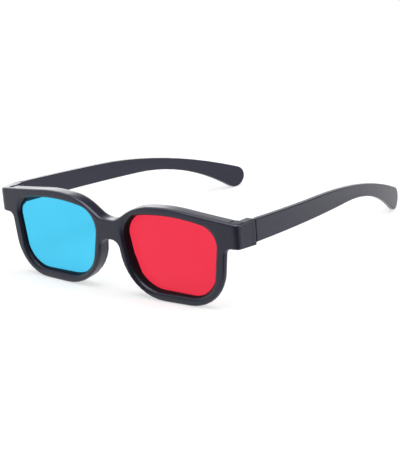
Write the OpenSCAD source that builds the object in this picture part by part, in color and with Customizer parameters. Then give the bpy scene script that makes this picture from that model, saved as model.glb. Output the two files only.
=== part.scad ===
// Open pair of red and cyan 3d glasses, standing on the rims and the temple tips.
// X runs to the wearer's left, Y to the back, Z up. The origin is below the middle, on the table.

/* [Lens openings] */
// Width between the upper corners of an opening
lens_top_w = 55.3; // [53:0.1:58]
// Width between the lower corners of an opening
lens_bottom_w = 44; // [42:0.1:46]
// Height of the upper nasal corner above the lower edge
lens_nasal_h = 34.2; // [32:0.1:36]
// Height of the upper outer corner above the lower edge
lens_outer_h = 33.3; // [32:0.1:35]
// Height of the crown's corner above the lower edge
lens_crown_h = 38.5; // [37:0.1:41]
// Distance of the crown from the upper nasal corner
lens_crown_x = 29.7; // [27:0.1:33]
// How far the lower nasal corner lies outside the upper one
nasal_slant = 6.9; // [6:0.1:8]
// Corner radius, lower nasal
lens_low_nasal_r = 17.5; // [14:0.1:18]
// Corner radius, lower outer
lens_low_outer_r = 14.5; // [12:0.1:15]
// Corner radius, upper outer
lens_up_outer_r = 10; // [7:0.1:11]
// Corner radius, upper nasal
lens_up_nasal_r = 11.5; // [10:0.1:13]
// Share of the upper edge's free length that the crown's arc takes
crown_share = 0.99; // [0.7:0.01:0.99]

/* [Front] */
// Gap between the upper nasal corners of the two openings
bridge_gap = 13.8; // [12:0.1:16]
// Height of the rim below the openings
rim_bottom = 4.3; // [4:0.1:5]
// Width of the rim at the outer side
rim_side = 5.2; // [4.6:0.1:5.6]
// Width of the rim at the top of the nose gap
rim_nasal_top = 3.8; // [3.4:0.1:4.4]
// Width of the rim at the lower nasal corner
rim_nasal_low = 5.3; // [4.6:0.1:5.6]
// Rise of the brow's corner above the crown's corner
brow_rise = 3.2; // [2.6:0.1:4]
// Distance of the brow's shoulder from the upper nasal corner of the opening
shoulder_x = 10.6; // [10:0.1:11.5]
// Drop of the brow's shoulder below the brow's corner
shoulder_drop = 1.2; // [0.6:0.1:1.5]
// Height of the nose gap
nose_h = 26.2; // [24.5:0.1:27]
// Height of the bridge
bridge_h = 9.8; // [9:0.1:10.5]
// Width of the saddle on top of the bridge
saddle_w = 8.4; // [7:0.1:10]
// Radius of the rim, lower nasal
rim_nasal_r = 24.5; // [20:0.1:25]
// Radius of the rim, lower outer
rim_outer_r = 20; // [16:0.1:21]
// Length of the ends past the rims
end_len = 7.6; // [6.5:0.1:9]
// Rise of the ends' upper edge above the upper outer corner of the opening
end_rise = 4.2; // [3.6:0.1:4.5]
// Height of the ends
end_h = 11.8; // [11:0.1:12.4]
// Radius of the front's bow, seen from above
front_bow_r = 620; // [450:10:900]

/* [Lens sheets] */
// Distance of the flat lens sheets behind the front face of the bridge
lens_y = 5.2; // [4.8:0.1:6]
// Thickness of the lens sheet
lens_t = 0.8; // [0.4:0.1:1.5]
// Overlap of the lens sheet behind the rim
lens_lap = 1; // [0.7:0.1:1.2]

/* [Rear frame] */
// Thickness of the rear frame
rear_t = 1.2; // [1:0.1:2]
// Step from the front's outline in to the rear frame's outline
rear_inset = 0.9; // [0.6:0.1:1.2]
// Radius of the locating pegs
peg_r = 0.8; // [0.6:0.05:0.9]
// Length of the locating pegs
peg_len = 1.4; // [1:0.1:1.6]
// Width of a nose pad
pad_w = 2.4; // [2:0.1:3]
// Height of a nose pad's middle above the table
pad_z = 15.5; // [14:0.1:17]
// Reach of a nose pad behind the rear frame
pad_reach = 0.8; // [0.5:0.1:3]
// Radius of a nose pad's rounded back, seen from the side
pad_r = 10; // [9:0.1:12]

/* [Hinges] */
// Length of the end block, from the front's end to the temple
block_len = 12; // [10:0.1:16]
// Outward flare of the end block
block_flare = 0.8; // [0:0.1:2]
// Thickness of the end block
block_t = 5; // [4.8:0.1:5.5]
// Drop of the end block's lower edge at the temple
block_drop = 0.6; // [0:0.1:1.5]
// Outer radius of the hinge knuckles
knuckle_r = 1.7; // [1.4:0.05:1.8]
// Height of the temple's knuckle
temple_knuckle_h = 3.6; // [2.8:0.1:4]
// Height of each of the end block's two knuckles
block_knuckle_h = 2.8; // [2:0.1:3]
// Step from the end block's inner face to the knuckles
knuckle_step = 0.2; // [0.1:0.05:0.4]
// Radius of the hinge pin
pin_r = 0.6; // [0.4:0.05:0.8]

/* [Temples] */
// Length of a temple behind the end block, about
temple_len = 155; // [140:1:165]
// Thickness of a temple
temple_t = 3; // [2.6:0.1:3]
// Height of a temple at its hinge
temple_root_h = 10.9; // [10.4:0.1:11]
// Radius of a temple's inward bow, seen from above
temple_bow_r = 550; // [450:10:800]
// Height of a temple's lower bend
low_bend_z = 22.5; // [20:0.1:24]
// Distance of the lower bend from the tip's end
low_bend_back = 40.5; // [36:0.5:46]
// Share of the lower edge, from the bend to the tip's corner, that the lower bend's arc takes
low_bend_share = 0.85; // [0.6:0.01:0.95]
// Height of a temple's upper bend
top_bend_z = 31.5; // [30:0.1:33]
// Distance of the upper bend from the tip's end
top_bend_back = 50.7; // [46:0.5:56]
// Share of the upper edge, from the bend to the tip's corner, that the upper bend's arc takes
top_bend_share = 0.95; // [0.6:0.01:0.98]
// Length of the tip's slanted end, between its sharp corners
tip_h = 15; // [13.5:0.1:16]
// Slant of the tip's end from the table
tip_slant = 40; // [35:1:50]
// Radius of the tip's corners
tip_r = 5; // [4:0.1:5.4]

/* [Fits] */
// Gap between a temple and its end block, and around the knuckles
hinge_gap = 0.25; // [0.2:0.05:0.3]
// Clearance of the pin in the temple's knuckle, on the radius
running_fit = 0.05; // [0.02:0.01:0.1]
// Clearance of the pin in the end block's knuckles, on the radius
pin_seat = 0.01; // [0.01:0.01:0.03]
// Gap around and in front of a lens sheet
lens_play = 0.05; // [0.02:0.01:0.1]
// Thickness of the bond between the front and the rear frame
bond_gap = 0.05; // [0.02:0.01:0.1]
// Clearance of the locating pegs, on the radius
peg_fit = 0.05; // [0.02:0.01:0.1]

/* [Hidden] */

// Chords on a small arc, a wide arc, a drilled hole and a large bow
arc_steps = 8;
bend_steps = 12;
hole_fn = 48;
bow_fn = 720;
// Overshoot of cutting tools
over = 1;
// Radius of the sharp looking corners of the front
small_r = 1.2;
// Radius under the ends
fillet_r = 3;
// Radius at the top of the nose gap
nose_top_r = 4.5;
// Radius of the saddle, of the brow's shoulder and of the brow
saddle_r = 12;
shoulder_r = 30;
brow_r = 80;

frame_black = "#2e2f34";
lens_cyan = "#52d2fb";
lens_red = "#f73c4e";
pin_steel = "#b9bcc2";

// Corners of the right-hand lens opening, anticlockwise from the lower nasal one, and then with radii
nasal_x = bridge_gap / 2;
low_x = nasal_x + nasal_slant;
outer_x = nasal_x + lens_top_w;
low_outer_x = low_x + lens_bottom_w;
crown_z = rim_bottom + lens_crown_h;
low_nasal = [low_x, rim_bottom];
low_outer = [low_outer_x, rim_bottom];
up_outer = [outer_x, rim_bottom + lens_outer_h];
crown = [nasal_x + lens_crown_x, crown_z];
up_nasal = [nasal_x, rim_bottom + lens_nasal_h];
// The crown's arc runs out towards the arcs of the corners beside it
crown_room = min(
    norm(up_outer - crown) - arc_reach(low_outer, up_outer, crown, lens_up_outer_r),
    norm(up_nasal - crown) - arc_reach(crown, up_nasal, low_nasal, lens_up_nasal_r)
);
lens_crown_r = crown_share * crown_room / arc_reach(up_outer, crown, up_nasal, 1);
lens_corners = [
    corner(low_nasal, lens_low_nasal_r),
    corner(low_outer, lens_low_outer_r),
    corner(up_outer, lens_up_outer_r),
    corner(crown, lens_crown_r),
    corner(up_nasal, lens_up_nasal_r)
];
function corner(p, r) = [p[0], p[1], r];

// Places on the slanted sides of the opening, which the rims follow
function nasal_side(z) = low_x - nasal_slant * (z - rim_bottom) / lens_nasal_h;
function outer_side(z) = low_outer_x + (outer_x - low_outer_x) * (z - rim_bottom) / lens_outer_h;

// Corners of the right-hand half of the front, anticlockwise from the top of the nose gap
brow_z = crown_z + brow_rise;
end_top = rim_bottom + lens_outer_h + end_rise;
end_z = end_top - end_h;
rim_end_x = outer_side(end_z) + rim_side;
half_w = rim_end_x + end_len;
half_front = [
    [nasal_side(nose_h) - rim_nasal_top, nose_h, nose_top_r],
    [low_x - rim_nasal_low, 0, rim_nasal_r],
    [low_outer_x + rim_side, 0, rim_outer_r],
    [rim_end_x, end_z, fillet_r],
    [half_w, end_z, small_r],
    [half_w, end_top, small_r],
    [nasal_x + lens_crown_x, brow_z, brow_r],
    [nasal_x + shoulder_x, brow_z - shoulder_drop, shoulder_r],
    [saddle_w / 2, nose_h + bridge_h, saddle_r]
];
front_corners = concat(half_front, [for (i = [len(half_front) - 1:-1:0]) flipped(half_front[i])]);
function flipped(c) = [-c[0], c[1], c[2]];

// The front face is bowed. The back of the front, the lens sheets and the rear frame are flat.
front_back = lens_y + lens_play + lens_t;
rear_front = front_back + bond_gap;
rear_back = rear_front + rear_t;
function bow_y(x) = front_bow_r - sqrt(front_bow_r * front_bow_r - x * x);

// End blocks and hinge axes
end_y = bow_y(half_w);
// The block starts halfway through the end's thickness
block_front = (end_y + front_back) / 2;
seam_y = end_y + block_len;
seam_x = half_w + block_flare;
axis_x = seam_x - block_t + knuckle_step + knuckle_r;
block_bottom = end_z - block_drop;
hinge_z = (block_bottom + end_top) / 2;
mid_low = hinge_z - temple_knuckle_h / 2;
mid_top = hinge_z + temple_knuckle_h / 2;
stack_low = mid_low - hinge_gap - block_knuckle_h;
stack_top = mid_top + hinge_gap + block_knuckle_h;
rear_limit = half_w - block_t - lens_play;

// Side view of a temple as [y behind its front end, z, radius]
temple_y = seam_y + hinge_gap;
temple_top = end_top - hinge_gap;
tip_low_y = temple_len - tip_h * cos(tip_slant) / 2;
tip_top_y = temple_len + tip_h * cos(tip_slant) / 3;
function temple_corners(tip_z) =
    let (root_low = [0, temple_top - temple_root_h], root_top = [0, temple_top])
    let (low_bend = [temple_len - low_bend_back, low_bend_z])
    let (top_bend = [temple_len - top_bend_back, top_bend_z])
    let (tip_low = [tip_low_y, tip_z], tip_top = [tip_top_y, tip_z + tip_h * sin(tip_slant)])
    let (low_room = norm(tip_low - low_bend) - arc_reach(low_bend, tip_low, tip_top, tip_r))
    let (top_room = norm(tip_top - top_bend) - arc_reach(tip_low, tip_top, top_bend, tip_r))
    [
        corner(root_low, 0),
        corner(low_bend, low_bend_share * low_room / arc_reach(root_low, low_bend, tip_low, 1)),
        corner(tip_low, tip_r),
        corner(tip_top, tip_r),
        corner(top_bend, top_bend_share * top_room / arc_reach(tip_top, top_bend, root_top, 1)),
        corner(root_top, 0)
    ];
// The tip's lower corner is dropped until the rounded tip just meets the table, in two steps
function lowest(tip_z) = min([for (p = rounded(temple_corners(tip_z), 0, bend_steps)) p[1]]);
first_drop = lowest(0);
tip_drop = first_drop + lowest(-first_drop);
temple_side = rounded(temple_corners(-tip_drop), 0, bend_steps);
overall_d = temple_y + max([for (p = temple_side) p[0]]);

function unit(v) = v / norm(v);
function left_of(v) = [-v[1], v[0]];
function turned(v, a) = [v[0] * cos(a) - v[1] * sin(a), v[0] * sin(a) + v[1] * cos(a)];
function spot(c) = [c[0], c[1]];

// Turn of the outline at p, on the way from a to b
function turn_at(a, p, b) =
    let (e1 = unit(p - a), e2 = unit(b - p))
    atan2(cross(e1, e2), e1 * e2);

// Length that an arc of radius r takes up on each side of corner p
function arc_reach(a, p, b, r) = r * tan(abs(turn_at(a, p, b)) / 2);

// Arc of radius r that rounds corner p on the way from a to b
function corner_arc(a, p, b, r, steps) =
    let (e1 = unit(p - a), turn = turn_at(a, p, b))
    let (start = p - e1 * arc_reach(a, p, b, r))
    let (centre = start + sign(turn) * r * left_of(e1))
    r == 0 ? [p] : [for (k = [0:steps]) centre + turned(start - centre, turn * k / steps)];

// Corner p between a and b, moved inward by d, with its radius
function inset_corner(a, p, b, r, d) =
    let (e1 = unit(p - a), e2 = unit(b - p))
    let (n1 = left_of(e1), n2 = left_of(e2))
    let (q = p + d * (n1 + n2) / (1 + n1 * n2))
    [q[0], q[1], max(0, r - sign(cross(e1, e2)) * d)];

// Points of a closed anticlockwise outline of rounded corners, moved inward by d
function rounded(corners, d = 0, steps = arc_steps) =
    let (n = len(corners))
    let (c = [for (i = [0:n - 1])
        inset_corner(spot(corners[(i + n - 1) % n]), spot(corners[i]), spot(corners[(i + 1) % n]), corners[i][2], d)])
    [for (i = [0:n - 1])
        each corner_arc(spot(c[(i + n - 1) % n]), spot(c[i]), spot(c[(i + 1) % n]), c[i][2], steps)];

// Moves the glasses so that the origin lies below the middle
module place() {
    translate([0, -overall_d / 2, 0])
        children();
}

// The wearer's left side is at side 1, the right side at side -1
module on_side(side) {
    mirror([side < 0 ? 1 : 0, 0, 0])
        children();
}

// Extrudes a front view from y0 back to y1
module front_view(points, y0, y1) {
    translate([0, y1, 0])
        rotate([90, 0, 0])
            linear_extrude(y1 - y0)
                polygon(points);
}

// Extrudes a side view of [y, z] points from x0 out to x1
module side_view(points, x0, x1) {
    translate([x0, 0, 0])
        rotate([90, 0, 90])
            linear_extrude(x1 - x0)
                polygon(points);
}

// A front view as a plate with the bowed face in front and a flat back
module bowed_plate(points) {
    intersection() {
        front_view(points, -over, front_back);
        translate([0, front_bow_r, -over])
            cylinder(r = front_bow_r, h = brow_z + 2 * over, $fn = bow_fn);
    }
}

module hinge_rod(r, z0, z1) {
    // Turned by half a chord, so that no corner of the rod lies in the end block's end face
    translate([axis_x, seam_y, z0])
        rotate(180 / hole_fn)
            cylinder(r = r, h = z1 - z0, $fn = hole_fn);
}

module end_block() {
    intersection() {
        linear_extrude(brow_z)
            polygon([
                [half_w - block_t, block_front], [half_w, block_front],
                [seam_x, seam_y], [seam_x - block_t, seam_y]
            ]);
        side_view([
            [block_front, end_z], [seam_y, block_bottom],
            [seam_y, end_top], [block_front, end_top]
        ], 0, seam_x + over);
    }
}

module peg(r, y0, y1) {
    // One peg in the bridge and one behind the end, on each side
    for (p = [
        [nasal_x / 2, nose_h + bridge_h / 2],
        [(outer_x + lens_lap + rear_limit) / 2, end_z + end_h / 2]
    ])
        translate([p[0], y1, p[1]])
            rotate([90, 0, 0])
                cylinder(r = r, h = y1 - y0, $fn = hole_fn);
}

module front_frame() {
    color(frame_black)
        place()
            difference() {
                union() {
                    bowed_plate(rounded(front_corners));
                    for (side = [-1, 1])
                        on_side(side) {
                            end_block();
                            hinge_rod(knuckle_r, stack_low, mid_low - hinge_gap);
                            hinge_rod(knuckle_r, mid_top + hinge_gap, stack_top);
                        }
                }
                for (side = [-1, 1])
                    on_side(side) {
                        front_view(rounded(lens_corners), -over, front_back + over);
                        front_view(rounded(lens_corners, -lens_lap - lens_play), lens_y, front_back + over);
                        hinge_rod(pin_r + pin_seat, 0, brow_z);
                        hinge_rod(knuckle_r + hinge_gap, mid_low - hinge_gap, mid_top + hinge_gap);
                        peg(peg_r + peg_fit, front_back - peg_len - bond_gap, rear_back);
                    }
            }
}

// Blade along the nasal edge of the rim, rounded at the back
module nose_pad() {
    intersection() {
        difference() {
            front_view(rounded(front_corners, lens_play), rear_front, rear_back + pad_reach + over);
            front_view(rounded(front_corners, lens_play + pad_w), 0, rear_back + pad_reach + 2 * over);
        }
        translate([0, rear_back + pad_reach - pad_r, pad_z])
            rotate([0, 90, 0])
                cylinder(r = pad_r, h = nasal_x + lens_crown_x, $fn = 2 * hole_fn);
    }
}

module rear_frame() {
    color(frame_black)
        place()
            for (side = [-1, 1])
                on_side(side) {
                    difference() {
                        front_view(rounded(front_corners, rear_inset), rear_front, rear_back);
                        front_view(rounded(lens_corners), -over, rear_back + over);
                        translate([rear_limit, 0, 0])
                            cube([half_w, seam_y, brow_z]);
                        translate([-2 * half_w, -over, 0])
                            cube([2 * half_w, seam_y, brow_z]);
                    }
                    nose_pad();
                    peg(peg_r, front_back - peg_len, rear_front + rear_t / 2);
                }
}

module lens_sheet(side) {
    place()
        on_side(side)
            front_view(rounded(lens_corners, -lens_lap), lens_y + lens_play, front_back);
}

module right_lens() {
    color(lens_cyan)
        lens_sheet(-1);
}

module left_lens() {
    color(lens_red)
        lens_sheet(1);
}

module temple_bow(r) {
    translate([seam_x - temple_bow_r, temple_y, -over])
        cylinder(r = r, h = brow_z + 2 * over, $fn = bow_fn);
}

module temple(side) {
    color(frame_black)
        place()
            on_side(side)
                difference() {
                    union() {
                        difference() {
                            intersection() {
                                translate([0, temple_y, 0])
                                    side_view(temple_side, 0, seam_x + over);
                                difference() {
                                    temple_bow(temple_bow_r);
                                    temple_bow(temple_bow_r - temple_t);
                                }
                            }
                            hinge_rod(knuckle_r + hinge_gap, 0, brow_z);
                        }
                        hinge_rod(knuckle_r, mid_low, mid_top);
                        translate([axis_x, temple_y, mid_low])
                            cube([seam_x - axis_x - hinge_gap, knuckle_r + hinge_gap, temple_knuckle_h]);
                    }
                    hinge_rod(pin_r + running_fit, 0, brow_z);
                }
}

module right_temple() {
    temple(-1);
}

module left_temple() {
    temple(1);
}

module hinge_pin(side) {
    color(pin_steel)
        place()
            on_side(side)
                hinge_rod(pin_r, stack_low, stack_top);
}

module right_hinge_pin() {
    hinge_pin(-1);
}

module left_hinge_pin() {
    hinge_pin(1);
}

front_frame();
rear_frame();
right_lens();
left_lens();
right_temple();
left_temple();
right_hinge_pin();
left_hinge_pin();
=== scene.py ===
import math

import bmesh
import bpy
from mathutils import Matrix, Vector


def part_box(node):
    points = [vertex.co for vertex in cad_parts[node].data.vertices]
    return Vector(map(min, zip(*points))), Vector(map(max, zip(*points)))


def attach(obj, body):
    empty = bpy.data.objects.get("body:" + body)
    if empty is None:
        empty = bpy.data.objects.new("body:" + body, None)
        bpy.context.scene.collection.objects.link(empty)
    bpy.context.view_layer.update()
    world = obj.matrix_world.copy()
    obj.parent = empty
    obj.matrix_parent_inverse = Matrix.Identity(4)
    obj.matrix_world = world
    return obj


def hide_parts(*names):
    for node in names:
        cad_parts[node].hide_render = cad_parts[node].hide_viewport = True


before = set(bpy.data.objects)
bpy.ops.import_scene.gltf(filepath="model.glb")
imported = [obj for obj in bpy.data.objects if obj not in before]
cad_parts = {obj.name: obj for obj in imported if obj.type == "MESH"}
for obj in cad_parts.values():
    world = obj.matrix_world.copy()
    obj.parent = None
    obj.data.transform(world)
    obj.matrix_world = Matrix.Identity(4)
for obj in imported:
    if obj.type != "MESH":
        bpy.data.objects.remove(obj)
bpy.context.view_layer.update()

# Sizes in millimetres. X runs to the wearer's left, Y back from the bridge's front face, Z up.
MM = 0.001
BRIDGE_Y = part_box("front_frame")[0].y / MM
RIGHT, LEFT = -1, 1
# Material slots: satin black, and a rough darker copy of it that paints shade into the lens openings
SATIN, MATT_PAINTED_SHADE = 0, 1

# Left lens opening as corners of x, z and radius, anticlockwise from the lower nasal one
LENS = [(13.8, 4.3, 17.5), (57.8, 4.3, 14.5), (62.2, 37.6, 10), (36.6, 42.8, 95.6), (6.9, 38.5, 11.5)]
# Left half of the front, anticlockwise from the top of the nose gap
HALF_FRONT = [
    (5.58, 26.2, 4.5), (8.5, 0, 24.5), (63, 0, 20), (66.4, 30, 3), (74, 30, 1.2),
    (74, 41.8, 1.2), (36.6, 46, 80), (17.5, 44.8, 30), (4.2, 36, 12),
]
FRONT = HALF_FRONT + [(-x, z, r) for x, z, r in reversed(HALF_FRONT)]
FRONT_BOW_R = 620
FRONT_BACK = 6.05
# The front's edge is rounded further back than down, and the ends roll back into the end blocks
EDGE_DROP = 0.9
EDGE_DEPTH = 1.7
BACK_EDGE_R = 0.5
END_X = 74
END_ROLL_W = 3.2
END_ROLL_DEPTH = 1.8
# Behind the ends the flat back steps back into the end blocks
STEP_START_X = 69.1
STEP_END_X = 69.4
STEP_BACK = 10
# The rim walls lean in towards the back, but not at the ends, along the brow and beside the nose
DRAFT_FULL_X = 62
DRAFT_NONE_X = 66
DRAFT_FULL_Z = 27
DRAFT_NONE_Z = 33
NOSE_SIDE_X = 15
NOSE_CLEAR_X = 22
# The openings have a wide soft lip in front, satin at its outer steps and darker further in, as painted
# shade. The sheets are flat.
LIP_W = 1.6
LIP_DEPTH = 3
LIP_SATIN_STEPS = 3
LENS_Y = 5.25
LENS_T = 0.8
LENS_LAP = 1
SHEET_EDGE = 0.1
SEAT_PLAY = 0.05
SEAT_Y = LENS_Y - SEAT_PLAY
REAR_Y = 6.1
REAR_T = 1.2
REAR_INSET = 0.9
REAR_TAPER = 0.2
# The rear openings flare to the back, so that their walls don't show through the sheets
REAR_STEP = 0.5
REAR_FLARE = 1.1
REAR_EDGE_R = 0.4
# The rear frame follows the front, higher along the brow, and stops short of the ends
REAR_END_X = 69.8
REAR_END_LOW = 30
REAR_END_TOP = 42.92
REAR_END_R = 2.4
REAR_LIFT = 0.65
HALF_REAR = HALF_FRONT[:3] + [(66.4, REAR_END_LOW, 1)]
HALF_REAR += [(REAR_END_X, z, REAR_END_R) for z in (REAR_END_LOW, REAR_END_TOP)]
HALF_REAR += [(x, z + REAR_LIFT, r) for x, z, r in HALF_FRONT[6:]]
REAR = HALF_REAR + [(-x, z, r) for x, z, r in reversed(HALF_REAR)]
# Between these heights its flat back starts to follow the bow of the front
REAR_BOW_LOW = 31
REAR_BOW_FULL = 38

# A nose pad is a blade whose back is an arc
PAD_W = 1.8
PAD_Z = 15.5
PAD_R = 22
PAD_THIN = 0.2
PAD_BACK = 8.1
PAD_EDGE_R = 0.7
PAD_HALF_H = 9.2
PAD_SPLAY = 0.35
PAD_MAX_X = 30

# End blocks: places of x and y on their outer face, and the notch for the temple's knuckle
BLOCK_T = 5
BLOCK_FRONT = (73.95, 7.5)
BLOCK_BACK = (74.796, 16.43)
BLOCK_TOP = 41.8
BLOCK_LOW_FRONT = 30
BLOCK_LOW_BACK = 29.4
BLOCK_EDGE_R = 0.7
BLOCK_INNER_R = 2.4
NOTCH_LAP = 0.3
SEAM_R = 0.3

# Hinge axis as x and y, and the knuckles' heights on it
HINGE = (71.696, 16.432)
KNUCKLE_R = 1.7
KNUCKLE_CHAMFER = 0.15
HINGE_GAP = 0.25
TEMPLE_KNUCKLE = (33.8, 37.4)
BLOCK_KNUCKLES = ((30.75, 33.55), (37.65, 40.45))

# Side view of a temple as corners of distance behind the seam, z and radius
TEMPLE = [
    (0, 30.65, 0), (114.5, 22.5, 118.5), (149.26, -1.49, 5.8),
    (158.83, 8.16, 5.8), (104.3, 31.5, 317.5), (0, 41.55, 0),
]
TEMPLE_Y = 16.682
TEMPLE_X = 74.796
TEMPLE_BOW_R = 550
TEMPLE_T = 3
TEMPLE_EDGE_R = 0.6
# Where its outline gets more points: distances behind the seam, then shares of the long and short edges
TEMPLE_ROOT_STEPS = [0.5, 1.0, 1.4, 1.75, 2.2, 4]
TEMPLE_BODY_SHARES = [0.1 + 0.07 * k for k in range(13)]
TEMPLE_TIP_SHARES = [0.2, 0.4, 0.6, 0.8]

# How finely the meshes are cut
ARC_STEPS = 10
EDGE_STEPS = 5
ROLL_STEPS = 6
KNUCKLE_STEPS = 24
STRAIGHT_SHARES = [0.25, 0.5, 0.75]
STRIP_W = 3
CUT_DIST = 0.001
WELD_DIST = 0.0005
SHARP_ANGLE = math.radians(40)


def linear(hex_colour):
    """Linear RGBA of an sRGB hex value."""
    channels = [int(hex_colour[i:i + 2], 16) / 255 for i in (1, 3, 5)]
    return [c / 12.92 if c <= 0.04045 else ((c + 0.055) / 1.055) ** 2.4 for c in channels] + [1]


def inset_corners(corners, inset):
    """Corners of the outline moved inward, with their radii."""
    moved = []
    count = len(corners)
    for i, (x, z, r) in enumerate(corners):
        here = Vector((x, z))
        into = (here - Vector(corners[i - 1][:2])).normalized()
        out = (Vector(corners[(i + 1) % count][:2]) - here).normalized()
        side_in = Vector((-into.y, into.x))
        side_out = Vector((-out.y, out.x))
        turn = into.cross(out)
        place = here + (side_in + side_out) * (inset / (1 + side_in.dot(side_out)))
        moved.append((place, max(0, r - math.copysign(inset, turn)) if r else 0))
    return moved


def outline(corners, inset=0, straights=None, arc_steps=ARC_STEPS):
    """Points of a closed outline of rounded corners. Every inset gives the same number of points."""
    moved = inset_corners(corners, inset)
    count = len(moved)
    arcs = []
    for i, (place, r) in enumerate(moved):
        into = (place - moved[i - 1][0]).normalized()
        out = (moved[(i + 1) % count][0] - place).normalized()
        turn = math.atan2(into.cross(out), into.dot(out))
        start = place - into * r * math.tan(abs(turn) / 2)
        centre = start + Vector((-into.y, into.x)) * math.copysign(r, turn)
        if corners[i][2] == 0:
            arcs.append([place])
        else:
            turns = [turn * k / arc_steps for k in range(arc_steps + 1)]
            arcs.append([centre + Matrix.Rotation(t, 2) @ (start - centre) for t in turns])
    points = []
    for i, arc in enumerate(arcs):
        points += arc
        after = arcs[(i + 1) % count][0]
        for share in (straights[i] if straights else STRAIGHT_SHARES):
            points.append(arc[-1].lerp(after, share))
    return points


def bow(x):
    """How far the bowed front lies behind the bridge at x."""
    return FRONT_BOW_R - math.sqrt(FRONT_BOW_R ** 2 - x * x)


def roll(x):
    """How far the rounded end of the front lies behind the bow at x."""
    share = min(max(0, (abs(x) - END_X) / END_ROLL_W + 1), 1)
    return END_ROLL_DEPTH * (1 - math.sqrt(1 - share ** 2))


def ring(mesh, points, y):
    """A loop of vertices at a distance behind a flat front face."""
    return [mesh.verts.new((p.x, y, p.y)) for p in points]


def bend(mesh):
    """Cuts the flat front into strips, bows its face and rolls its ends. The back is flat, with a step."""
    half = int(END_X - END_ROLL_W)
    cuts = list(range(-half, half + 1, STRIP_W))
    turns = [math.pi / 2 * k / ROLL_STEPS for k in range(ROLL_STEPS)]
    outer_cuts = [STEP_START_X, STEP_END_X] + [END_X - END_ROLL_W * (1 - math.sin(t)) for t in turns]
    for x in outer_cuts:
        cuts += [x, -x]
    for x in cuts:
        geometry = mesh.verts[:] + mesh.edges[:] + mesh.faces[:]
        bmesh.ops.bisect_plane(mesh, geom=geometry, plane_co=(x, 0, 0), plane_no=(1, 0, 0), dist=CUT_DIST)
    for vert in mesh.verts:
        x, y = vert.co.xy
        if y < SEAT_Y:
            share = min(1, (SEAT_Y - y) / (SEAT_Y - EDGE_DEPTH))
            vert.co.y = y + (bow(x) + roll(x)) * share
        elif abs(x) > STEP_START_X:
            share = min(1, (abs(x) - STEP_START_X) / (STEP_END_X - STEP_START_X))
            vert.co.y = y + (STEP_BACK - y) * share


def drafted(draft, inset):
    """The front's inset outline, moved in by the draft where its walls lean."""
    points = []
    for p, q in zip(outline(FRONT, inset), outline(FRONT, inset + draft)):
        beside = (DRAFT_NONE_X - abs(p.x)) / (DRAFT_NONE_X - DRAFT_FULL_X)
        below = (DRAFT_NONE_Z - p.y) / (DRAFT_NONE_Z - DRAFT_FULL_Z)
        off_nose = (abs(p.x) - NOSE_SIDE_X) / (NOSE_CLEAR_X - NOSE_SIDE_X)
        points.append(p.lerp(q, max(0, min(1, beside, below, off_nose))))
    return points


def skin(mesh, rings, finish_or_shade=SATIN):
    """Quads between rings of equal length, in one of the piece's material slots: satin black, or the rough
    darker copy that paints shade.
    """
    for one, two in zip(rings, rings[1:]):
        count = len(one)
        for i in range(count):
            j = (i + 1) % count
            face = mesh.faces.new((one[i], one[j], two[j], two[i]))
            face.material_index = finish_or_shade


def closed(mesh, rings):
    """Skin over rings, with a face on the first and on the last."""
    skin(mesh, rings)
    mesh.faces.new(rings[0])
    mesh.faces.new(rings[-1])


def fill(mesh, *loops):
    """Triangles between an outer loop and any holes in it."""
    edges = []
    for loop in loops:
        for i, vert in enumerate(loop):
            pair = (loop[i - 1], vert)
            edges.append(mesh.edges.get(pair) or mesh.edges.new(pair))
    bmesh.ops.triangle_fill(mesh, use_beauty=True, use_dissolve=False, edges=edges)


def mirrored(points):
    """The other side's points."""
    return [Vector((-p.x, p.y)) for p in points]


def quarter(r_across, r_along):
    """Rounded edge from a face to the wall beside it, as insets and depths."""
    turns = [math.pi / 2 * k / EDGE_STEPS for k in range(EDGE_STEPS + 1)]
    return [(r_across * (1 - math.sin(t)), r_along * (1 - math.cos(t))) for t in turns]


def piece(name, mesh, body, cad_node, slot, *materials):
    """Turns a mesh in millimetres into a smooth piece that stands for a CAD node."""
    bmesh.ops.remove_doubles(mesh, verts=mesh.verts, dist=WELD_DIST)
    bmesh.ops.recalc_face_normals(mesh, faces=mesh.faces)
    bmesh.ops.translate(mesh, verts=mesh.verts, vec=(0, BRIDGE_Y, 0))
    bmesh.ops.scale(mesh, verts=mesh.verts, vec=(MM, MM, MM))
    data = bpy.data.meshes.new(name)
    mesh.to_mesh(data)
    mesh.free()
    data.shade_smooth()
    data.set_sharp_from_angle(angle=SHARP_ANGLE)
    for material in materials:
        data.materials.append(material)
    thing = bpy.data.objects.new(name, data)
    bpy.context.scene.collection.objects.link(thing)
    weighted = thing.modifiers.new("face normals", "WEIGHTED_NORMAL")
    weighted.keep_sharp = True
    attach(thing, body)
    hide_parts(cad_node)


def knuckle(mesh, side, z0, z1):
    """Closed barrel on the hinge axis."""
    c = KNUCKLE_CHAMFER
    turns = [2 * math.pi * k / KNUCKLE_STEPS for k in range(KNUCKLE_STEPS)]
    rings = []
    for narrower, z in ((c, z0), (0, z0 + c), (0, z1 - c), (c, z1)):
        r = KNUCKLE_R - narrower
        places = [(HINGE[0] + r * math.cos(t), HINGE[1] + r * math.sin(t)) for t in turns]
        rings.append([mesh.verts.new((side * x, y, z)) for x, y in places])
    closed(mesh, rings)


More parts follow.
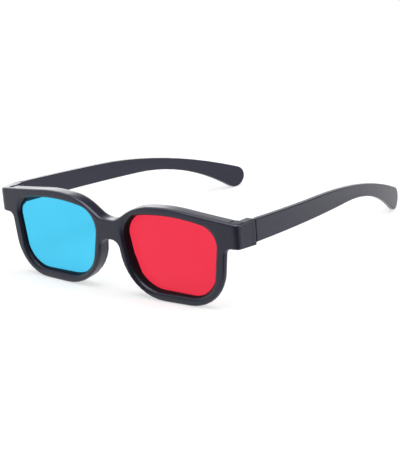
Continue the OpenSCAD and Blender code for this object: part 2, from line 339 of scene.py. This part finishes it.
def block_ring(mesh, side, y, notched, inset=0):
    """Section of an end block at y, with the notch for the temple's knuckle where it has one."""
    share = (y - BLOCK_FRONT[1]) / (BLOCK_BACK[1] - BLOCK_FRONT[1])
    outer = BLOCK_FRONT[0] + (BLOCK_BACK[0] - BLOCK_FRONT[0]) * share
    low = BLOCK_LOW_FRONT + (BLOCK_LOW_BACK - BLOCK_LOW_FRONT) * share
    inner = outer - BLOCK_T
    r = BLOCK_EDGE_R
    corners = [(inner, low, BLOCK_INNER_R), (outer, low, r), (outer, BLOCK_TOP, r), (inner, BLOCK_TOP, r)]
    if notched:
        notch_low = TEMPLE_KNUCKLE[0] - HINGE_GAP
        notch_top = TEMPLE_KNUCKLE[1] + HINGE_GAP
        notch_x = HINGE[0] + KNUCKLE_R + HINGE_GAP
        corners += [(inner, notch_top, 0), (notch_x, notch_top, 0)]
        corners += [(notch_x, notch_low, 0), (inner, notch_low, 0)]
    return [mesh.verts.new((side * p.x, y, p.y)) for p in outline(corners, inset, arc_steps=EDGE_STEPS)]


def end_block(mesh, side):
    """Tapered block from the front's end back to the seam, with rounded edges."""
    notch_y = HINGE[1] - KNUCKLE_R - HINGE_GAP
    body = [block_ring(mesh, side, y, False) for y in (BLOCK_FRONT[1], notch_y)]
    tail = [block_ring(mesh, side, notch_y - NOTCH_LAP, True)]
    for inset, drop in reversed(quarter(SEAM_R, SEAM_R)):
        tail.append(block_ring(mesh, side, BLOCK_BACK[1] - drop, True, inset))
    closed(mesh, body)
    closed(mesh, tail)


def knuckle_web(mesh, side):
    """Joins a temple's knuckle to its bar."""
    z0, z1 = TEMPLE_KNUCKLE
    inner = HINGE[0]
    outer = TEMPLE_X - HINGE_GAP
    corners = [(inner, z0), (outer, z0), (outer, z1), (inner, z1)]
    rings = []
    for y in (TEMPLE_Y, TEMPLE_Y + KNUCKLE_R + HINGE_GAP):
        rings.append([mesh.verts.new((side * x, y, z)) for x, z in corners])
    closed(mesh, rings)


def front_frame():
    """Both rims with their lips, the bridge, the end blocks and the outer knuckles."""
    mesh = bmesh.new()
    walls = [ring(mesh, outline(FRONT, inset), depth) for inset, depth in quarter(EDGE_DROP, EDGE_DEPTH)]
    for inset, drop in reversed(quarter(BACK_EDGE_R, BACK_EDGE_R)):
        walls.append(ring(mesh, drafted(REAR_INSET, inset), FRONT_BACK - drop))
    skin(mesh, walls)
    front_holes = []
    back_holes = []
    lap = LENS_LAP + SEAT_PLAY
    lip_layers = [(-a, d) for a, d in quarter(LIP_W, LIP_DEPTH)]
    wall_layers = [(0, SEAT_Y), (-lap, SEAT_Y), (-lap, FRONT_BACK)]
    for flip in (False, True):
        loops = [(outline(LENS, inset), depth) for inset, depth in lip_layers + wall_layers]
        rings = [ring(mesh, mirrored(points) if flip else points, depth) for points, depth in loops]
        skin(mesh, rings[:LIP_SATIN_STEPS + 1])
        # The inner steps of the lip and the wall get the darker copy: painted shade in the openings
        skin(mesh, rings[LIP_SATIN_STEPS:], MATT_PAINTED_SHADE)
        front_holes.append(rings[0])
        back_holes.append(rings[-1])
    fill(mesh, walls[0], *front_holes)
    fill(mesh, walls[-1], *back_holes)
    bend(mesh)
    for side in (RIGHT, LEFT):
        end_block(mesh, side)
        for z0, z1 in BLOCK_KNUCKLES:
            knuckle(mesh, side, z0, z1)
    return mesh


def nose_pad(mesh, side):
    """Blade along the nasal edge of the rim, rounded at the back and splayed to suit a nose."""
    rim = outline(FRONT)
    inner = outline(FRONT, PAD_W)
    pairs = [(p, q - p) for p, q in zip(rim, inner) if 0 < p.x < PAD_MAX_X]
    strip = [(p, across) for p, across in pairs if abs(p.y - PAD_Z) < PAD_HALF_H]
    rings = []
    for p, across in sorted(strip, key=lambda pair: pair[0].y):
        back = PAD_BACK - PAD_R + math.sqrt(PAD_R ** 2 - (p.y - PAD_Z) ** 2)
        back = max(back, REAR_Y + PAD_THIN)
        edge_r = min(PAD_EDGE_R, (back - REAR_Y) / 2)
        rounding = quarter(edge_r, edge_r)
        profile = [(0, REAR_Y)]
        profile += [(a, back - d) for a, d in reversed(rounding)]
        profile += [(PAD_W - a, back - d) for a, d in rounding]
        profile += [(PAD_W, REAR_Y)]
        loop = []
        for in_from_edge, y in profile:
            share = (in_from_edge + PAD_SPLAY * (y - REAR_Y)) / PAD_W
            place = p + across * share
            loop.append(mesh.verts.new((side * place.x, y, place.y)))
        rings.append(loop)
    closed(mesh, rings)


def rear_frame():
    """The plate that clamps the sheets, with the nose pads on it."""
    mesh = bmesh.new()
    back = REAR_Y + REAR_T
    back_inset = REAR_INSET + REAR_TAPER
    rounding = quarter(REAR_EDGE_R, REAR_EDGE_R)
    layers = [(REAR_INSET, REAR_Y)] + [(back_inset + a, back - d) for a, d in reversed(rounding)]
    walls = [ring(mesh, outline(REAR, inset), y) for inset, y in layers]
    skin(mesh, walls)
    hole_layers = [(-REAR_STEP, REAR_Y), (-REAR_STEP - REAR_FLARE, back)]
    front_holes = []
    back_holes = []
    for flip in (False, True):
        loops = [(outline(LENS, inset), y) for inset, y in hole_layers]
        rings = [ring(mesh, mirrored(points) if flip else points, y) for points, y in loops]
        skin(mesh, rings)
        front_holes.append(rings[0])
        back_holes.append(rings[-1])
    fill(mesh, walls[0], *front_holes)
    fill(mesh, walls[-1], *back_holes)
    for vert in mesh.verts:
        x, y, z = vert.co
        brow = min(1, max(0, (z - REAR_BOW_LOW) / (REAR_BOW_FULL - REAR_BOW_LOW)))
        vert.co.y = y + bow(x) * brow * (y - REAR_Y) / REAR_T
    for side in (RIGHT, LEFT):
        nose_pad(mesh, side)
    return mesh


def lens_sheet(side):
    """Flat sheet that laps the opening all round, with its edges broken."""
    mesh = bmesh.new()
    e = SHEET_EDGE
    rings = []
    for inset, depth in ((e, 0), (0, e), (0, LENS_T - e), (e, LENS_T)):
        points = outline(LENS, inset - LENS_LAP)
        rings.append(ring(mesh, mirrored(points) if side == RIGHT else points, LENS_Y + depth))
    closed(mesh, rings)
    return mesh


def temple_place(side, along, z, depth):
    """A point of a temple at a depth inside its bowed outer face, clear of the hinge's barrel."""
    x = TEMPLE_X - TEMPLE_BOW_R + math.sqrt((TEMPLE_BOW_R - depth) ** 2 - along ** 2)
    behind = TEMPLE_Y + along - HINGE[1]
    clear = KNUCKLE_R + HINGE_GAP
    if abs(behind) < clear:
        x = max(x, HINGE[0] + math.sqrt(clear ** 2 - behind ** 2))
    return (side * x, TEMPLE_Y + along, z)


def temple(side):
    """Bar of a temple from the seam to its rounded tip, with its knuckle."""
    mesh = bmesh.new()
    low_length = math.dist(TEMPLE[0][:2], TEMPLE[1][:2])
    top_length = math.dist(TEMPLE[5][:2], TEMPLE[4][:2])
    low_shares = [s / low_length for s in TEMPLE_ROOT_STEPS] + TEMPLE_BODY_SHARES
    top_shares = [s / top_length for s in TEMPLE_ROOT_STEPS] + TEMPLE_BODY_SHARES
    forward = [1 - share for share in reversed(top_shares)]
    straights = [low_shares] + [TEMPLE_TIP_SHARES] * 3 + [forward, []]
    rounding = quarter(TEMPLE_EDGE_R, TEMPLE_EDGE_R)
    layers = rounding + [(a, TEMPLE_T - d) for a, d in reversed(rounding)]
    rings = []
    for inset, depth in layers:
        points = outline(TEMPLE, inset, straights)
        rings.append([mesh.verts.new(temple_place(side, p.x, p.y, depth)) for p in points])
    skin(mesh, rings)
    for end in (rings[0], rings[-1]):
        count = len(end)
        for i in range(count // 2 - 1):
            mesh.faces.new((end[i], end[i + 1], end[count - 2 - i], end[count - 1 - i]))
    knuckle(mesh, side, *TEMPLE_KNUCKLE)
    knuckle_web(mesh, side)
    return mesh


def node(tree, kind, **settings):
    """Adds a shader node. A setting that names an input sets or links it, any other sets the node."""
    made = tree.nodes.new(kind)
    for name, value in settings.items():
        socket = made.inputs.get(name.replace("_", " ")) or made.inputs.get(name)
        if socket is None:
            setattr(made, name, value)
        elif isinstance(value, bpy.types.NodeSocket):
            tree.links.new(value, socket)
        else:
            socket.default_value = value
    return made


def new_material(name):
    """An empty material and its node tree."""
    material = bpy.data.materials.new(name)
    material.use_nodes = True
    material.node_tree.nodes.clear()
    return material, material.node_tree


def two_tones(tree, share, one, two):
    """A colour between two hex values."""
    tone = node(tree, "ShaderNodeMix", data_type="RGBA", Factor=share)
    tone.inputs["A"].default_value = linear(one)
    tone.inputs["B"].default_value = linear(two)
    return tone.outputs["Result"]


def mixed(tree, share, one, two):
    """A shader between two shaders."""
    both = node(tree, "ShaderNodeMixShader", Fac=share)
    tree.links.new(one, both.inputs[1])
    tree.links.new(two, both.inputs[2])
    return both.outputs["Shader"]


def combined(tree, operation, one, two):
    """The result of a maths operation on two values."""
    made = node(tree, "ShaderNodeMath", operation=operation)
    tree.links.new(one, made.inputs[0])
    tree.links.new(two, made.inputs[1])
    return made.outputs["Value"]


def moulded_abs(name, dark, light, rough_range, sheen):
    """Black ABS, injection moulded: blue black, with flow lines, cloudy wear and a faint fine grain."""
    material, tree = new_material(name)
    place = node(tree, "ShaderNodeTexCoord").outputs["Object"]
    # Mould texture of about 0.3 mm
    grain = node(tree, "ShaderNodeTexNoise", Vector=place, Scale=1 / (0.3 * MM), Detail=2.0)
    # Cloudy wear about 12 mm across
    cloud = node(tree, "ShaderNodeTexNoise", Vector=place, Scale=1 / (12 * MM), Detail=3.0)
    # Flow lines of the moulding, about 1 mm apart, run out along the temples
    along = node(tree, "ShaderNodeMapping", Vector=place, Scale=(1, 0.02, 1))
    flow = node(tree, "ShaderNodeTexNoise", Vector=along.outputs["Vector"], Scale=1 / (1 * MM), Detail=2.0)
    tone = two_tones(tree, flow.outputs["Fac"], dark, light)
    least, most = rough_range
    rough = node(tree, "ShaderNodeMapRange", Value=cloud.outputs["Fac"], To_Min=least, To_Max=most)
    bump = node(tree, "ShaderNodeBump", Height=grain.outputs["Fac"], Strength=0.05, Distance=0.05 * MM)
    shader = node(
        tree, "ShaderNodeBsdfPrincipled", Base_Color=tone, Roughness=rough.outputs["Result"], IOR=1.53,
        Specular_IOR_Level=sheen, Specular_Tint=linear("#e8eaff"), Normal=bump.outputs["Normal"],
    )
    node(tree, "ShaderNodeOutputMaterial", Surface=shader.outputs["BSDF"])
    return material


def filter_sheet(name, thick_dye, thin_dye):
    """Dyed acetate filter sheet, cast and polished: clear and deeply coloured, with a faint gloss."""
    material, tree = new_material(name)
    place = node(tree, "ShaderNodeTexCoord").outputs["Object"]
    # Slow waves of a flexible sheet, about 15 mm apart
    wave = node(tree, "ShaderNodeTexNoise", Vector=place, Scale=1 / (15 * MM), Detail=0.0)
    bump = node(tree, "ShaderNodeBump", Height=wave.outputs["Fac"], Strength=0.2, Distance=0.1 * MM)
    # Uneven dye. The light crosses both faces of the sheet, so each face has half of the density.
    dye = two_tones(tree, wave.outputs["Fac"], thick_dye, thin_dye)
    half_dye = node(tree, "ShaderNodeGamma", Color=dye, Gamma=0.5)
    clear = node(tree, "ShaderNodeBsdfTransparent", Color=half_dye.outputs["Color"])
    gloss = node(tree, "ShaderNodeBsdfGlossy", Roughness=0.08, Normal=bump.outputs["Normal"])
    slant = node(tree, "ShaderNodeLayerWeight", Blend=0.5)
    sheen = node(tree, "ShaderNodeMapRange", Value=slant.outputs["Facing"], To_Min=0.005, To_Max=0.015)
    both = mixed(tree, sheen.outputs["Result"], clear.outputs["BSDF"], gloss.outputs["BSDF"])
    node(tree, "ShaderNodeOutputMaterial", Surface=both)
    return material


def drawn_steel():
    """Drawn steel wire: mid grey metal with fine lengthwise drawing marks."""
    material, tree = new_material("drawn steel wire")
    place = node(tree, "ShaderNodeTexCoord").outputs["Object"]
    # Drawing marks about 0.1 mm apart, run out along the pin
    stretched = node(tree, "ShaderNodeMapping", Vector=place, Scale=(1, 1, 0.02))
    pin_place = stretched.outputs["Vector"]
    marks = node(tree, "ShaderNodeTexNoise", Vector=pin_place, Scale=1 / (0.1 * MM), Detail=2.0)
    rough = node(tree, "ShaderNodeMapRange", Value=marks.outputs["Fac"], To_Min=0.25, To_Max=0.45)
    shader = node(
        tree, "ShaderNodeBsdfPrincipled", Base_Color=linear("#b9bcc2"), Metallic=1.0,
        Roughness=rough.outputs["Result"],
    )
    node(tree, "ShaderNodeOutputMaterial", Surface=shader.outputs["BSDF"])
    return material


def backdrop_rays(tree):
    """1 for rays that see the backdrop straight, in gloss or through clear sheet, 0 for all others."""
    path = node(tree, "ShaderNodeLightPath").outputs
    seen = combined(tree, "MAXIMUM", path["Is Camera Ray"], path["Is Transmission Ray"])
    return combined(tree, "MAXIMUM", seen, path["Is Glossy Ray"])


def white_paper():
    """White studio paper, matt: the object's shadow stays and the rest is white."""
    material, tree = new_material("white studio paper")
    place = node(tree, "ShaderNodeTexCoord").outputs["Object"]
    # Paper fibre of about 0.5 mm
    fibre = node(tree, "ShaderNodeTexNoise", Vector=place, Scale=1 / (0.5 * MM), Detail=2.0)
    tone = two_tones(tree, fibre.outputs["Fac"], "#f4f4f4", "#fafafa")
    paper = node(tree, "ShaderNodeBsdfDiffuse", Color=tone)
    glow = node(tree, "ShaderNodeEmission", Color=linear("#ffffff"), Strength=1.0)
    # Plain white from 0.7 m away, so that no edge of the paper shows
    away = node(tree, "ShaderNodeVectorMath", operation="LENGTH", Vector=place)
    fade = node(
        tree, "ShaderNodeMapRange", interpolation_type="SMOOTHSTEP", Value=away.outputs["Value"],
        From_Min=0.2, From_Max=0.7, To_Min=0.6, To_Max=1.0,
    )
    share = combined(tree, "MULTIPLY", backdrop_rays(tree), fade.outputs["Result"])
    both = mixed(tree, share, paper.outputs["BSDF"], glow.outputs["Emission"])
    node(tree, "ShaderNodeOutputMaterial", Surface=both)
    return material


def dark_side(tree, way, towards, start, full):
    """How dark the room is: 0 up to the start, as a cosine to the dark side, and darkest from full on."""
    darkest = 0.97
    facing = node(tree, "ShaderNodeVectorMath", operation="DOT_PRODUCT")
    tree.links.new(way, facing.inputs[0])
    facing.inputs[1].default_value = towards
    dark = node(
        tree, "ShaderNodeMapRange", interpolation_type="SMOOTHSTEP", Value=facing.outputs["Value"],
        From_Min=start, From_Max=full, To_Min=0.0, To_Max=darkest,
    )
    return dark.outputs["Result"]


def floor():
    """A sheet of paper under the object."""
    half = 1.5
    corners = [(-half, -half, 0), (half, -half, 0), (half, half, 0), (-half, half, 0)]
    data = bpy.data.meshes.new("floor")
    data.from_pydata(corners, [], [(0, 1, 2, 3)])
    data.materials.append(white_paper())
    thing = bpy.data.objects.new("floor", data)
    bpy.context.scene.collection.objects.link(thing)
    # The gloss shows the surround, whose lower half is as white as the floor
    thing.visible_glossy = False


def surround():
    """White all round to the eye, with a plain soft light. In gloss the room has dark sides."""
    world = bpy.data.worlds.new("white surround")
    bpy.context.scene.world = world
    world.use_nodes = True
    tree = world.node_tree
    tree.nodes.clear()
    fill_light = node(tree, "ShaderNodeBackground", Color=linear("#f2f4f8"), Strength=0.45)
    # The room is dark at the front left, up to the lamp above, and high at the back
    way = node(tree, "ShaderNodeTexCoord").outputs["Generated"]
    front_left = dark_side(tree, way, towards=(0.55, -0.55, 0.63), start=0.1, full=0.45)
    below_lamp = dark_side(tree, way, towards=(0, 0, -1), start=-0.8, full=-0.5)
    high_back = dark_side(tree, way, towards=(0.15, 0.73, 0.67), start=0.75, full=0.92)
    low_front = combined(tree, "MULTIPLY", front_left, below_lamp)
    dark = combined(tree, "MAXIMUM", low_front, high_back)
    in_gloss = node(tree, "ShaderNodeLightPath").outputs["Is Glossy Ray"]
    level = node(tree, "ShaderNodeMath", operation="SUBTRACT")
    level.inputs[0].default_value = 1.0
    tree.links.new(combined(tree, "MULTIPLY", dark, in_gloss), level.inputs[1])
    white = node(tree, "ShaderNodeBackground", Color=linear("#ffffff"), Strength=level.outputs["Value"])
    both = mixed(tree, backdrop_rays(tree), fill_light.outputs["Background"], white.outputs["Background"])
    node(tree, "ShaderNodeOutputWorld", Surface=both)


def soft_lamp(name, place, size, power):
    """Square lamp turned to the object, in metres and watts."""
    light = bpy.data.lights.new(name, "AREA")
    light.size = size
    light.energy = power
    lamp = bpy.data.objects.new(name, light)
    lamp.location = place
    lamp.rotation_euler = (-Vector(place)).to_track_quat("-Z", "Y").to_euler()
    bpy.context.scene.collection.objects.link(lamp)


def camera():
    """The photo's view: from the wearer's left front, a little above, slightly rolled."""
    azimuth = math.radians(39.7)
    elevation = math.radians(17.85)
    tilt = math.radians(-4.81)
    distance = 767.0
    across = 18.14
    above = 16.59
    behind_bridge = 39.19
    middle = Vector((0, BRIDGE_Y + behind_bridge, 0))
    right = Vector((math.cos(azimuth), math.sin(azimuth), 0))
    level_ahead = Vector((-math.sin(azimuth), math.cos(azimuth), 0))
    ahead = level_ahead * math.cos(elevation) - Vector((0, 0, math.sin(elevation)))
    up = right.cross(ahead)
    image_right = math.cos(tilt) * right + math.sin(tilt) * up
    image_up = math.cos(tilt) * up - math.sin(tilt) * right
    place = middle + across * right + above * up - distance * ahead
    data = bpy.data.cameras.new("camera")
    data.lens = 121.64
    data.sensor_width = 36
    data.clip_start = 0.01
    thing = bpy.data.objects.new("camera", data)
    turn = Matrix((image_right, image_up, -ahead)).transposed()
    thing.matrix_world = Matrix.Translation(place * MM) @ turn.to_4x4()
    bpy.context.scene.collection.objects.link(thing)
    bpy.context.scene.camera = thing


bpy.context.scene.view_settings.view_transform = "Standard"
black = moulded_abs("satin black ABS, moulded", "#14151e", "#1e1f2b", (0.26, 0.34), 0.5)
# The openings' inner lips and walls are rough, and their black is darker with less sheen: painted shade,
# so that they stay dark beside the lit sheets
matt_painted_shade = moulded_abs("matt black ABS, darkened as painted shade", "#0c0d12", "#121319", (0.65, 0.75), 0.14)
piece("front_rims", front_frame(), "front", "front_frame", "frame", black, matt_painted_shade)
piece("rear_rims", rear_frame(), "front", "rear_frame", "frame", black)
cyan = filter_sheet("cyan dyed acetate sheet", "#48c3ea", "#4ec7ec")
red = filter_sheet("red dyed acetate sheet", "#e43248", "#e6364b")
piece("cyan_sheet", lens_sheet(RIGHT), "front", "right_lens", "cyan_sheet", cyan)
piece("red_sheet", lens_sheet(LEFT), "front", "left_lens", "red_sheet", red)
piece("right_arm_bar", temple(RIGHT), "right_arm", "right_temple", "frame", black)
piece("left_arm_bar", temple(LEFT), "left_arm", "left_temple", "frame", black)
steel = drawn_steel()
for pin in ("right_hinge_pin", "left_hinge_pin"):
    bpy.data.objects[pin].data.materials.clear()
    bpy.data.objects[pin].data.materials.append(steel)
floor()
surround()
soft_lamp("lamp above", (0.1, -0.1, 0.9), size=0.8, power=9)
soft_lamp("lamp beside", (0.8, 0.3, 0.5), size=0.6, power=5)
soft_lamp("lamp behind", (-0.9, 0.7, 0.35), size=0.4, power=1.6)
camera()
